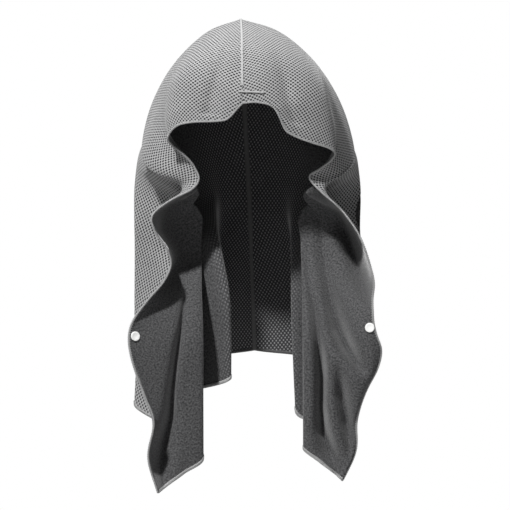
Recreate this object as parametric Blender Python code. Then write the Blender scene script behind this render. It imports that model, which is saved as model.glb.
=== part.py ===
"""Hooded cooling towel: two mirrored knit panels sewn along the crown and the back,
with a rolled front edge, an overlocked hem and one press stud on each front wing.

Metres, +Z up, -Y is the wearer's front and +X the viewer's right. The origin is on the
centre plane at the top of the wearer's head, where the crown rests.
Each cloth panel is a surface through ribs. A rib runs from the centre seam (u = 0) round
the side to the front edge (u = 1). The ribs are numbered v = 0 at the brim's peak, over
the crown and down the back, to v = 1 at the bottom hem.
"""
import math

import bmesh
import bpy
import numpy as np
from mathutils import Matrix, Vector

MM = 0.001
TOP_OF_HEAD = 608.0        # mm, from the lowest tip up to the origin
CLOTH = 1.8                # mm, thickness of the double-faced knit
GAP = 0.35                 # mm, between touching pieces
SEAM_HALF_GAP = 0.5        # mm, from the seam's middle to each panel
ROLL_RADIUS = 1.3          # mm, the rolled front edge
HEM_WIDTH = 4.4            # mm, the overlocked hem
HEM_GAP = 0.8              # mm, more than GAP because the hem turns sharp folds
RIDGE_WIDTH = 3.4          # mm, the raised crown seam outside
TAPE_WIDTH = 6.5           # mm, the tape on the seam inside
TRIM_THICK = 0.9           # mm
SEAM_CLEARANCE = 0.3       # mm, more room under a strip on the seam
SEAM_START = 0.05          # v where the strips on the seam start, behind the brim's tack
TACK_SPAN = (-12, 19)      # mm, left and right ends of the brim's tack stitches
TACK_DEPTH = 121.4         # mm, in front of the origin
TACK_HEIGHT = 514          # mm, above the lowest tip
TACK_WIDTH = 2.4           # mm
STUD_RADIUS = 6.2          # mm, a size 20 press stud
STUD_POST_RADIUS = 1.6     # mm
STUD_CLEARANCE = 1.3       # mm, from the curved cloth to each half of a stud
STUD_CAP = 1.7             # mm, thickness of the cap's head
MATE_RADIUS = 5.0          # mm, the half on the outer face
STUD_HOLE_RADIUS = 2.3     # mm
POST_PAST = 1.2            # mm, the cap's post past the cloth's clearance
CAP_BEVEL = 0.9            # mm
MATE_HEIGHT = 3.3          # mm, socket or ball above its own face
SOCKET_FLOOR = 1.9         # mm, from the socket's face to the bottom of its well
SOCKET_BEVEL = 0.8         # mm
BALL_RADIUS = 2.5          # mm
FLANGE = 0.9               # mm, the plate under the ball
HOLE_REACH = 4.0           # mm, half length of the drill that makes a stud's hole
WING_FOLD = 0.6            # u of the fold that a front wing turns about
WING_TOP = 0.79            # v where a front wing starts
FOLD_SHARE = 0.012         # of u, left open on each side of that fold
TOP_SHARE = 0.004          # of v, left open on each side of the wing's start
HEM_START = 0.012          # u where each hem starts, clear of the other one
RIBS = 33
COLUMNS = 31

# Ribs: v, then points (outwards, depth, height) in mm. The crown's serve both panels.
LEFT_BRIM = [
    (0.00, [(0, -118, 514), (7, -119, 508), (9.5, -119, 500)]),
    (0.06, [(0, -112, 534), (9, -117, 518), (19, -119, 498), (27, -119, 479)]),
    (0.13, [(0, -88, 570), (22, -99, 554), (44, -108, 531), (60, -111, 504), (70, -110, 478)]),
]
RIGHT_BRIM = [
    (0.00, [(0, -118, 514), (-5, -119, 508), (-6, -119, 501)]),
    (0.06, [(0, -112, 534), (12, -117, 522), (24, -119, 508), (33, -119, 493)]),
    (0.10, [(0, -99, 555), (22, -109, 541), (42, -115, 520), (51, -118, 498), (43, -117, 478)]),
    (0.14, [(0, -83, 575), (27, -97, 559), (54, -107, 533), (70, -112, 498), (61, -112, 458)]),
]
CROWN_RIBS = [
    (0.21, [(0, -42, 600), (36, -58, 586), (66, -76, 561), (88, -90, 529), (99, -95, 494),
            (103, -92, 462)]),
    (0.31, [(0, 15, 612), (44, 6, 597), (78, -6, 569), (99, -20, 536), (109, -36, 500),
            (106, -54, 464), (86, -70, 436)]),
    (0.41, [(0, 75, 590), (49, 68, 576), (94, 52, 544), (123, 24, 500), (136, -4, 455),
            (134, -36, 425), (108, -58, 410), (66, -66, 404)]),
]
# Below the ears the two sides fold differently. Eleven points on each rib: seam, hidden
# pleat, rear crest, rear panel, side turn, middle layer, wing fold, valley, crest,
# outer turn, front edge.
LEFT_RIBS = [
    (0.45, [(0, 91, 571), (34, 88, 562), (66, 78, 545), (94, 62, 522), (116, 40, 492),
            (130, 14, 462), (134, -14, 437), (126, -36, 419), (108, -50, 407),
            (88, -57, 398), (74, -70, 391)]),
    (0.49, [(0, 105, 550), (36, 101, 540), (68, 89, 521), (98, 70, 496), (127, 42, 468),
            (137, 14, 440), (128, -18, 418), (98, -36, 404), (68, -38, 394),
            (86, -49, 385), (100, -80, 377)]),
    (0.54, [(0, 118, 518), (34, 113, 508), (64, 98, 492), (104, 76, 470), (137, 44, 444),
            (141, 14, 420), (116, -14, 403), (66, -22, 390), (84, -22, 378),
            (108, -40, 367), (124, -90, 356)]),
    (0.60, [(0, 123, 478), (34, 116, 465), (62, 94, 448), (104, 66, 427), (145, 32, 402),
            (134, 14, 382), (66, 0, 366), (82, -3, 356), (99, -11, 347),
            (113, -35, 337), (115, -84, 328)]),
    (0.66, [(0, 122, 440), (34, 112, 424), (58, 84, 406), (104, 56, 384), (147, 25, 354),
            (130, 12, 340), (64, 3, 329), (78, -1, 320), (91, -9, 311),
            (100, -34, 304), (101, -78, 298)]),
    (0.72, [(0, 117, 397), (36, 104, 385), (52, 68, 368), (98, 50, 350), (148, 26, 326),
            (122, 10, 312), (63, -4, 299), (82, -14, 291), (99, -32, 283),
            (110, -57, 275), (112, -85, 269)]),
    (0.77, [(0, 111, 360), (40, 94, 349), (44, 4, 332), (90, 26, 314), (149, 26, 292),
            (112, 2, 278), (62, -32, 264), (86, -46, 260), (108, -62, 253),
            (127, -80, 246), (134, -93, 240)]),
    (0.83, [(0, 106, 294), (48, 64, 284), (30, -26, 268), (86, 12, 250), (150, 26, 232),
            (108, -12, 222), (60, -58, 212), (86, -72, 209), (116, -84, 206),
            (141, -93, 203), (153, -98, 202)]),
    (0.92, [(0, 100, 234), (52, 60, 222), (27, -30, 202), (84, 10, 186), (149, 24, 166),
            (106, -16, 148), (60, -60, 132), (86, -73, 126), (110, -87, 122),
            (130, -98, 121), (131, -108, 120)]),
    (1.00, [(0, 98, 180), (55, 60, 170), (28, -32, 146), (86, 8, 128), (152, 22, 112),
            (102, -20, 80), (60, -60, 46), (84, -78, 26), (102, -93, 13),
            (114, -106, 4), (116, -113, 3)]),
]
RIGHT_RIBS = [
    (0.45, [(0, 91, 571), (34, 88, 562), (66, 78, 545), (94, 62, 522), (117, 40, 492),
            (132, 14, 462), (137, -14, 437), (132, -40, 419), (116, -57, 407),
            (100, -64, 397), (92, -70, 389)]),
    (0.49, [(0, 105, 550), (36, 101, 540), (68, 89, 521), (98, 70, 496), (127, 42, 468),
            (138, 14, 440), (131, -14, 418), (106, -30, 402), (76, -34, 390),
            (99, -46, 380), (114, -78, 369)]),
    (0.54, [(0, 118, 518), (34, 113, 508), (66, 98, 492), (104, 76, 470), (137, 46, 444),
            (142, 22, 420), (122, 8, 402), (72, 4, 386), (95, 0, 373),
            (119, -22, 361), (130, -84, 350)]),
    (0.60, [(0, 123, 478), (38, 115, 465), (72, 92, 447), (108, 66, 425), (145, 36, 400),
            (134, 30, 380), (70, 18, 364), (95, 14, 352), (118, 6, 342),
            (137, -22, 334), (143, -88, 328)]),
    (0.66, [(0, 122, 440), (40, 112, 422), (72, 84, 402), (110, 56, 380), (144, 26, 354),
            (132, 28, 338), (69, 14, 326), (97, 6, 316), (123, -6, 309),
            (147, -34, 303), (154, -88, 298)]),
    (0.71, [(0, 118, 404), (43, 107, 388), (66, 74, 368), (108, 54, 348), (145, 26, 326),
            (126, 24, 312), (69, 2, 300), (97, -8, 292), (125, -22, 284),
            (149, -50, 278), (159, -91, 272)]),
    (0.77, [(0, 111, 360), (50, 98, 343), (58, 56, 322), (104, 46, 303), (146, 24, 284),
            (118, 10, 272), (69, -26, 260), (98, -42, 256), (126, -60, 249),
            (148, -80, 243), (158, -93, 240)]),
    (0.83, [(0, 106, 294), (66, 92, 278), (54, 40, 260), (100, 40, 243), (146, 26, 226),
            (112, -10, 218), (69, -60, 208), (98, -74, 206), (128, -89, 204),
            (150, -94, 203), (163, -92, 203)]),
    (0.92, [(0, 100, 234), (76, 88, 210), (54, 36, 180), (94, 36, 162), (138, 24, 146),
            (106, -10, 136), (69, -58, 126), (98, -75, 124), (124, -87, 124),
            (142, -86, 125), (150, -80, 130)]),
    (1.00, [(0, 98, 180), (84, 86, 164), (56, 34, 102), (92, 34, 86), (128, 20, 74),
            (100, -6, 66), (69, -54, 58), (90, -66, 40), (108, -72, 27),
            (118, -70, 18), (120, -64, 16)]),
]
# Front edges: v, then (outwards, depth, height) in mm, from the brim's peak to the tip.
LEFT_EDGE = [
    (0.00, (9.5, -119, 500)), (0.03, (15, -119, 494)), (0.06, (27, -119, 481)),
    (0.09, (40, -117, 478)), (0.13, (70, -110, 477)), (0.17, (91, -102, 473)),
    (0.21, (103, -92, 461)), (0.26, (100, -80, 449)), (0.31, (84, -72, 436)),
    (0.37, (70, -66, 418)), (0.41, (65, -66, 404)), (0.45, (74, -70, 391)),
    (0.49, (100, -80, 377)), (0.54, (124, -90, 356)), (0.58, (120, -88, 336)),
    (0.63, (104, -80, 312)), (0.67, (100, -78, 294)), (0.71, (109, -84, 273)),
    (0.76, (130, -92, 248)), (0.80, (148, -97, 222)), (0.83, (153, -99, 203)),
    (0.88, (146, -104, 162)), (0.92, (131, -108, 122)), (0.95, (121, -110, 90)),
    (0.975, (129, -112, 48)), (1.00, (116, -114, 3)),
]
RIGHT_EDGE = [
    (0.00, (-6, -119, 501)), (0.03, (10, -119, 502)), (0.06, (30, -119, 497)),
    (0.08, (37, -119, 488)), (0.10, (42, -117, 477)), (0.12, (48, -115, 465)),
    (0.14, (61, -112, 458)), (0.17, (80, -107, 451)),
    (0.21, (103, -96, 444)), (0.24, (110, -88, 438)), (0.28, (106, -80, 429)),
    (0.34, (91, -72, 417)), (0.41, (79, -66, 404)), (0.45, (92, -70, 389)),
    (0.49, (114, -78, 369)), (0.54, (130, -84, 350)), (0.60, (143, -88, 328)),
    (0.67, (155, -90, 294)), (0.71, (160, -91, 272)), (0.76, (158, -93, 246)),
    (0.80, (159, -93, 220)), (0.83, (163, -92, 203)), (0.86, (169, -89, 184)),
    (0.89, (164, -85, 160)), (0.92, (149, -80, 130)), (0.95, (138, -74, 94)),
    (0.98, (136, -68, 50)), (1.00, (120, -64, 16)),
]
# How far the centre seam stands to the viewer's right of the centre plane: v, mm.
SEAM_DRIFT = [(0.0, -8), (0.15, -9), (0.35, -11), (0.6, -5), (0.8, 2), (1.0, 7)]
SIDES = {
    "left": (-1, LEFT_BRIM + CROWN_RIBS + LEFT_RIBS, LEFT_EDGE),
    "right": (1, RIGHT_BRIM + CROWN_RIBS + RIGHT_RIBS, RIGHT_EDGE),
}
EDGE_SHARE = 0.3           # the last share of each rib that follows the front edge
STUDS = {"left": (0.93, 0.832), "right": (0.95, 0.8135)}


def through(stations, points, at):
    """A smooth curve through the points, read at the given stations."""
    s = np.asarray(stations, float)
    p = np.asarray(points, float)
    step = np.diff(s)
    shape = (-1,) + (1,) * (p.ndim - 1)
    slope = np.diff(p, axis=0) / step.reshape(shape)
    before, after = step[:-1].reshape(shape), step[1:].reshape(shape)
    inner = (slope[:-1] * after + slope[1:] * before) / (before + after)
    tangent = np.concatenate([slope[:1], inner, slope[-1:]])
    at = np.asarray(at, float)
    i = np.clip(np.searchsorted(s, at, side="right") - 1, 0, len(s) - 2)
    h = step[i].reshape((-1,) + (1,) * (p.ndim - 1))
    t = ((at - s[i]) / step[i]).reshape(h.shape)
    return (
        (1 + 2 * t) * (1 - t) ** 2 * p[i]
        + t * (1 - t) ** 2 * h * tangent[i]
        + t * t * (3 - 2 * t) * p[i + 1]
        + t * t * (t - 1) * h * tangent[i + 1]
    )


def cloth(side, us, vs):
    """Points of a panel's middle surface in mm, as an array of ribs by columns by 3."""
    sign, ribs, edge = SIDES[side]
    us, vs = np.asarray(us, float), np.asarray(vs, float)
    rows = np.array([through(np.linspace(0, 1, len(p)), p, us) for _, p in ribs])
    grid = through([v for v, _ in ribs], rows, vs)
    ends = np.array([through(np.linspace(0, 1, len(p)), p, [1.0])[0] for _, p in ribs])
    off = through([v for v, _ in edge], [p for _, p in edge], vs)
    off -= through([v for v, _ in ribs], ends, vs)
    near = np.clip((us - 1 + EDGE_SHARE) / EDGE_SHARE, 0, 1)
    grid += (near * near * (3 - 2 * near))[None, :, None] * off[:, None, :]
    drift = through([v for v, _ in SEAM_DRIFT], [d for _, d in SEAM_DRIFT], vs)
    grid[..., 0] = sign * (grid[..., 0] + SEAM_HALF_GAP)
    grid[..., 0] += drift[:, None] * (1 - us[None, :]) ** 2
    grid[..., 2] -= TOP_OF_HEAD
    return grid


def normals(grid, sign):
    """Unit normals that point out of the hood."""
    across, along = np.gradient(grid, axis=1), np.gradient(grid, axis=0)
    n = np.cross(across, along) * sign
    return n / np.linalg.norm(n, axis=2, keepdims=True)


def material(name, colour, roughness):
    m = bpy.data.materials.new(name)
    m.use_nodes = True
    shader = m.node_tree.nodes["Principled BSDF"]
    shader.inputs["Base Color"].default_value = (*colour, 1)
    shader.inputs["Roughness"].default_value = roughness
    return m


def add(name, points, faces, colour, roughness, parent=None):
    """A closed solid from points in mm, its faces turned outwards."""
    mesh = bpy.data.meshes.new(name)
    mesh.from_pydata([Vector(p) * MM for p in points], [], faces)
    bm = bmesh.new()
    bm.from_mesh(mesh)
    bmesh.ops.recalc_face_normals(bm, faces=bm.faces)
    bm.to_mesh(mesh)
    bm.free()
    obj = bpy.data.objects.new(name, mesh)
    bpy.context.scene.collection.objects.link(obj)
    mesh.materials.append(material(name, colour, roughness))
    if parent:
        obj.parent = parent
        mesh.transform(parent.matrix_world.inverted())
    return obj


def shell(name, side, us, vs, keep, colour, parent=None):
    """Cloth over the grid cells that keep(u, v) accepts, one thickness through."""
    grid = cloth(side, us, vs)
    out = normals(grid, SIDES[side][0]) * CLOTH / 2
    points = np.concatenate([(grid + out).reshape(-1, 3), (grid - out).reshape(-1, 3)])
    under = grid.shape[0] * grid.shape[1]
    width = len(us)
    faces, edges = [], {}
    for i in range(len(vs) - 1):
        for j in range(width - 1):
            if not keep((us[j] + us[j + 1]) / 2, (vs[i] + vs[i + 1]) / 2):
                continue
            a, b = i * width + j, i * width + j + 1
            ring = [a, b, b + width, a + width]
            faces += [ring, [under + k for k in reversed(ring)]]
            for p, q in zip(ring, ring[1:] + ring[:1]):
                edges[(p, q)] = True
    for p, q in [e for e in edges if e[::-1] not in edges]:
        faces.append([q, p, under + p, under + q])
    used = sorted({k for f in faces for k in f})
    number = {k: n for n, k in enumerate(used)}
    faces = [[number[k] for k in f] for f in faces]
    return add(name, points[used], faces, colour, 0.9, parent)


def strip(name, centre, across, up, width, thick, colour, parent=None):
    """A flat strip along centre: width along across, thickness along up, all in mm."""
    corners = [(-1, -1), (1, -1), (1, 1), (-1, 1)]
    rings = [[c + across_i * a * width / 2 + up_i * b * thick / 2 for a, b in corners]
             for c, across_i, up_i in zip(centre, across, up)]
    return tube_of(name, rings, colour, parent)


def roll(name, centre, across, up, radius, colour, parent=None):
    """A round rolled edge along centre, six-sided."""
    turns = [k * math.tau / 6 for k in range(6)]
    rings = [[c + radius * (a * math.cos(t) + b * math.sin(t)) for t in turns]
             for c, a, b in zip(centre, across, up)]
    return tube_of(name, rings, colour, parent)


def tube_of(name, rings, colour, parent):
    n = len(rings[0])
    points = [p for ring in rings for p in ring]
    faces = [[i * n + k, i * n + (k + 1) % n, (i + 1) * n + (k + 1) % n, (i + 1) * n + k]
             for i in range(len(rings) - 1) for k in range(n)]
    faces += [list(range(n)), [len(points) - n + k for k in range(n)]]
    return add(name, points, faces, colour, 0.85, parent)


def unit(vectors):
    return vectors / np.linalg.norm(vectors, axis=-1, keepdims=True)


def border(side, us, vs, which):
    """Points, outward directions and normals along the front or the bottom of a panel."""
    grid = cloth(side, us, vs)
    n = normals(grid, SIDES[side][0])
    if which == "bottom":
        grid, n = grid.transpose(1, 0, 2), n.transpose(1, 0, 2)
    point, n = grid[:, -1], n[:, -1]
    away = unit(np.cross(np.gradient(point, axis=0), n))
    facing = np.sign(np.sum(away * (point - grid[:, -2]), axis=1, keepdims=True))
    return point, away * facing, n


def front_rolls(side, us, vs, colour, parents):
    """The rolled front edge, in a length on the hood and a length on the wing."""
    spans = {"brim_roll": vs[vs <= WING_TOP - 1e-9], "wing_roll": vs[vs > WING_TOP]}
    for what, span in spans.items():
        point, away, up = border(side, us, span, "front")
        middle = point + away * (ROLL_RADIUS + GAP)
        parent = parents[side] if what == "wing_roll" else None
        roll(f"{what}_{side}", middle, away, up, ROLL_RADIUS, colour, parent)


def hems(side, us, vs, colour, parents):
    """The overlocked hem, in a length on the back and a length on the wing."""
    beside_seam = np.append(HEM_START, us[1:])
    spans = {"back_hem": beside_seam[us < WING_FOLD], "wing_hem": us[us > WING_FOLD]}
    for what, span in spans.items():
        point, away, up = border(side, span, vs, "bottom")
        middle = point + away * (HEM_WIDTH / 2 + HEM_GAP)
        parent = parents[side] if what == "wing_hem" else None
        strip(f"{what}_{side}", middle, away, up, HEM_WIDTH, TRIM_THICK, colour, parent)


def seam_strip(name, us, vs, width, face, colour):
    """A strip folded over the seam on the outer (1) or the inner (-1) face of the cloth."""
    near = CLOTH / 2 + GAP + SEAM_CLEARANCE
    rings, flank = [], {}
    for side in SIDES:
        grid = cloth(side, us, vs)
        n = normals(grid, SIDES[side][0])[:, 0] * face
        flank[side] = grid[:, 0], unit(grid[:, 1] - grid[:, 0]), n
    for i in range(len(vs)):
        left, out_l, n_l = [a[i] for a in flank["left"]]
        right, out_r, n_r = [a[i] for a in flank["right"]]
        middle, n = (left + right) / 2, unit(n_l + n_r)
        rows = [(middle + out_l * width / 2, n_l), (middle, n), (middle + out_r * width / 2, n_r)]
        ring = [p + q * near for p, q in rows]
        rings.append(ring + [p + q * (near + TRIM_THICK) for p, q in reversed(rows)])
    tube_of(name, rings, colour, None)


def brim_tack(colour):
    """The short row of tack stitches that holds the brim's fold, across the seam's end."""
    low, high = TACK_SPAN
    x = np.linspace(low, high, 5)
    centre = np.stack([x, np.full(5, -TACK_DEPTH), np.full(5, TACK_HEIGHT - TOP_OF_HEAD)], 1)
    across = np.tile(np.array([0, 0, 1.0]), (5, 1))
    up = np.tile(np.array([0, -1.0, 0]), (5, 1))
    strip("brim_tack", centre, across, up, TACK_WIDTH, TRIM_THICK, colour)


def turned(name, outline, place, colour, parent, sides=20):
    """A turned solid: outline is (radius, height) in mm from axis to axis."""
    bm = bmesh.new()
    verts = [bm.verts.new((r * MM, 0, h * MM)) for r, h in outline]
    edges = [bm.edges.new(pair) for pair in zip(verts, verts[1:])]
    bmesh.ops.spin(bm, geom=verts + edges, cent=(0, 0, 0), axis=(0, 0, 1), dvec=(0, 0, 0),
                   angle=math.tau, steps=sides, use_merge=True)
    bmesh.ops.remove_doubles(bm, verts=bm.verts, dist=1e-6)
    bmesh.ops.recalc_face_normals(bm, faces=bm.faces)
    mesh = bpy.data.meshes.new(name)
    bm.to_mesh(mesh)
    bm.free()
    mesh.transform(place)
    obj = bpy.data.objects.new(name, mesh)
    bpy.context.scene.collection.objects.link(obj)
    mesh.materials.append(material(name, colour, 0.3))
    if parent:
        obj.parent = parent
        mesh.transform(parent.matrix_world.inverted())
    return obj


def stud_place(side):
    """The press stud's frame: local +Z points out of the cloth's inner face."""
    u, v = STUDS[side]
    grid = cloth(side, [u - 0.02, u, u + 0.02], [v - 0.006, v, v + 0.006])
    inward = Vector(-normals(grid, SIDES[side][0])[1, 1])
    centre = Vector(grid[1, 1]) * MM
    return Matrix.Translation(centre) @ inward.to_track_quat("Z", "Y").to_matrix().to_4x4()


def press_stud(side, wing, colour, parent):
    """A cap with its post on the inner face, and its mate on the outer face."""
    place = stud_place(side)
    face = CLOTH / 2 + STUD_CLEARANCE
    post, rim = -face - POST_PAST, STUD_RADIUS - CAP_BEVEL
    cap = [(0, post), (STUD_POST_RADIUS, post), (STUD_POST_RADIUS, face), (STUD_RADIUS, face),
           (STUD_RADIUS, face + STUD_CAP - CAP_BEVEL), (rim, face + STUD_CAP), (0, face + STUD_CAP)]
    turned(f"stud_cap_{side}", cap, place, colour, parent)
    bore = STUD_POST_RADIUS + GAP
    if side == "left":
        lip, floor = -face - MATE_HEIGHT, -face - SOCKET_FLOOR
        mate = [(bore, -face), (MATE_RADIUS, -face), (MATE_RADIUS, lip + SOCKET_BEVEL),
                (MATE_RADIUS - 2 * SOCKET_BEVEL, lip), (BALL_RADIUS, lip), (BALL_RADIUS, floor),
                (bore, floor), (bore, -face)]
        turned("stud_socket_left", mate, place, colour, parent)
    else:
        neck, top, bottom = -face - FLANGE, -face - MATE_HEIGHT, -face - POST_PAST - GAP
        mate = [(bore, -face), (MATE_RADIUS, -face), (MATE_RADIUS, neck), (BALL_RADIUS, neck),
                (BALL_RADIUS, top), (0, top), (0, bottom), (bore, bottom), (bore, -face)]
        turned("stud_ball_right", mate, place, colour, parent)
    drill = [(0, -HOLE_REACH), (STUD_HOLE_RADIUS, -HOLE_REACH), (STUD_HOLE_RADIUS, HOLE_REACH),
             (0, HOLE_REACH)]
    hole = turned(f"stud_hole_{side}", drill, place, colour, parent)
    hole.hide_render = True
    hole.display_type = "WIRE"
    cut = wing.modifiers.new("stud hole", "BOOLEAN")
    cut.operation = "DIFFERENCE"
    cut.solver = "EXACT"
    cut.object = hole


def hinge(side):
    """An empty on the vertical fold line that a front wing turns about."""
    sign, ribs, _ = SIDES[side]
    out, depth, height = ribs[-3][1][6]
    empty = bpy.data.objects.new(f"{side}_wing_hinge", None)
    empty.location = Vector((sign * (out + SEAM_HALF_GAP), depth, height - TOP_OF_HEAD)) * MM
    bpy.context.scene.collection.objects.link(empty)
    bpy.context.view_layer.update()
    return empty


def build():
    for obj in list(bpy.data.objects):
        bpy.data.objects.remove(obj)
    outer, inner, thread, white = (0.5,) * 3, (0.07,) * 3, (0.4,) * 3, (0.85,) * 3
    fold = [WING_FOLD - FOLD_SHARE, WING_FOLD + FOLD_SHARE]
    us = np.sort(np.append(np.linspace(0, 1, COLUMNS), fold))
    us = np.delete(us, np.argmin(abs(us - WING_FOLD)))
    top = [WING_TOP - TOP_SHARE, WING_TOP + TOP_SHARE]
    vs = np.sort(np.append(np.linspace(0, 1, RIBS), top))
    parents = {side: hinge(side) for side in SIDES}

    def on_wing(u, v):
        return u > fold[1] and v > top[1]

    def on_hood(u, v):
        return u < fold[0] or v < top[0]

    for side in SIDES:
        shell(f"hood_panel_{side}", side, us, vs, on_hood, outer)
        wing = shell(f"front_wing_{side}", side, us, vs, on_wing, inner, parents[side])
        front_rolls(side, us, vs, thread, parents)
        hems(side, us, vs, thread, parents)
        press_stud(side, wing, white, parents[side])
    brim_tack(thread)
    behind_brim = vs[vs > SEAM_START]
    seam_strip("crown_seam_ridge", us, behind_brim, RIDGE_WIDTH, 1, thread)
    seam_strip("back_seam_tape", us, behind_brim, TAPE_WIDTH, -1, inner)


build()
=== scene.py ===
"""The looks of the hooded cooling towel: two panels of two-faced knit sewn along the crown
and the back, a rolled front edge, an overlocked hem, a taped seam and a press stud a side.

Each panel is a surface through ribs, as in the frame it stands for. A rib runs from the
centre seam (u = 0) round the side to the front edge (u = 1). The ribs are numbered v = 0
at the brim's peak, over the crown and down the back, to v = 1 at the bottom hem.
"""
import math

import bmesh
import bpy
import numpy as np
from mathutils import Matrix, Vector


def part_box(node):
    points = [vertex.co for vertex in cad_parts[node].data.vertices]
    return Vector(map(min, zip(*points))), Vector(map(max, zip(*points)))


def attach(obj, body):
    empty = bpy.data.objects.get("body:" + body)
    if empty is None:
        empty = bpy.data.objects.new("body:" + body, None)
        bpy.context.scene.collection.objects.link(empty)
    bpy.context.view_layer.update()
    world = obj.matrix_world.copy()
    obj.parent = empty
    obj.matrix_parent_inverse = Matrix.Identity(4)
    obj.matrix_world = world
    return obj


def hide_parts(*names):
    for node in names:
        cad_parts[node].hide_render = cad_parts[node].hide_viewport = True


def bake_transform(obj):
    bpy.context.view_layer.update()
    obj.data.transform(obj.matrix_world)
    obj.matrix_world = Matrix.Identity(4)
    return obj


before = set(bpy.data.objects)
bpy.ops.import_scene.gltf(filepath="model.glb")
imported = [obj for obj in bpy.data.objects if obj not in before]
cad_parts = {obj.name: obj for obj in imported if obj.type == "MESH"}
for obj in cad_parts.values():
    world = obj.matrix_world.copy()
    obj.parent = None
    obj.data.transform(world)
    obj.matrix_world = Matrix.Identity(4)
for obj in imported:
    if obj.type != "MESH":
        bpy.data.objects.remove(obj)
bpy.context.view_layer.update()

MM = 0.001
TOP_OF_HEAD = 608.0        # mm, from the lowest tip up to the origin
SEAM_HALF_GAP = 0.05       # mm, from the seam's middle to each panel
CLOTH = 1.3                # mm, thickness of the two-faced knit
COLUMNS = 193
RIBS = 321
FLAT_STEP = 4              # the flat cut is worked out on every fourth column and rib
WELL_ACROSS = 4.7          # mm, between the knit's wells in a row
WELL_DOWN = 6.0            # mm, between every second row of wells
SOFTENING = 3              # passes that round the cloth between its ribs
ROLL_WIDE = 1.25           # mm, half the width of the rolled front edge
ROLL_HIGH = 1.15           # mm, half its height
STITCH = 3.0               # mm, lockstitch length
THREAD = 0.24              # mm, thread radius
HEM_WIDTH = 3.4            # mm
HEM_PITCH = 1.9            # mm, between overlock stitches
DARK_HEM = 0.3             # share of the bottom hem, from the seam, sewn in dark thread
SEAM_START = 0.03          # share of the ribs above the seam's first stitch
RIDGE_WIDTH = 3.4          # mm
RIDGE_HEIGHT = 1.5         # mm, above the panels' middle
TAPE_WIDTH = 6.5           # mm
STUD_RADIUS = 6.2          # mm
# The ridge's section: share of its half width, mm above the cloth, share of its height.
RIDGE_SECTION = [(-1, 0.3, 0), (-0.75, 0, 0.8), (-0.35, 0, 1), (0, 0, 0.72), (0.35, 0, 1),
                 (0.75, 0, 0.8), (1, 0.3, 0), (0, -0.2, 0)]
# The tape's section: share of its half width, mm inwards from the seam.
TAPE_SECTION = [(-1, 0.9), (-0.97, 1.5), (-0.7, 1.55), (-0.3, 1.8), (0.3, 1.8), (0.7, 1.55),
                (0.97, 1.5), (1, 0.9), (0, 0.9)]
# Lights: name, place and width in metres, power in watts. All aim at the hood's middle.
LIGHTS = [
    ("key", (-0.95, -1.75, 1.9), 0.22, 112),
    ("front_left", (-2.4, -2.4, 0.3), 1.2, 3),
    ("front", (0.0, -3.4, 0.0), 1.2, 4),
    ("rear", (0.1, 1.0, 2.4), 1.4, 55),
]
LIGHTS_AIM = (0, 0, -0.3)

# Ribs: v, then points (outwards, depth, height) in mm. The crown's serve both panels.
LEFT_BRIM = [
    (0.00, [(0, -118, 514), (6, -119, 508), (8, -119, 501)]),
    (0.06, [(0, -112, 534), (9, -117, 518), (19, -119, 498), (27, -119, 479)]),
    (0.13, [(0, -88, 570), (22, -99, 554), (44, -108, 531), (60, -111, 504), (70, -110, 478)]),
]
RIGHT_BRIM = [
    (0.00, [(0, -118, 514), (-6, -119, 508), (-8, -119, 501)]),
    (0.06, [(0, -112, 534), (12, -117, 522), (24, -119, 508), (33, -119, 493)]),
    (0.10, [(0, -99, 555), (22, -109, 541), (42, -115, 520), (51, -118, 498), (43, -117, 478)]),
    (0.14, [(0, -83, 575), (27, -97, 559), (54, -107, 533), (70, -112, 498), (61, -112, 458)]),
]
CROWN_RIBS = [
    (0.21, [(0, -42, 600), (36, -58, 586), (66, -76, 561), (88, -90, 529), (99, -95, 494),
            (103, -92, 462)]),
    (0.31, [(0, 15, 612), (44, 6, 597), (78, -6, 569), (99, -20, 536), (109, -36, 500),
            (106, -54, 464), (86, -70, 436)]),
    (0.41, [(0, 75, 590), (49, 68, 576), (94, 52, 544), (123, 24, 500), (136, -4, 455),
            (134, -36, 425), (108, -58, 410), (66, -66, 404)]),
]
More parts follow.
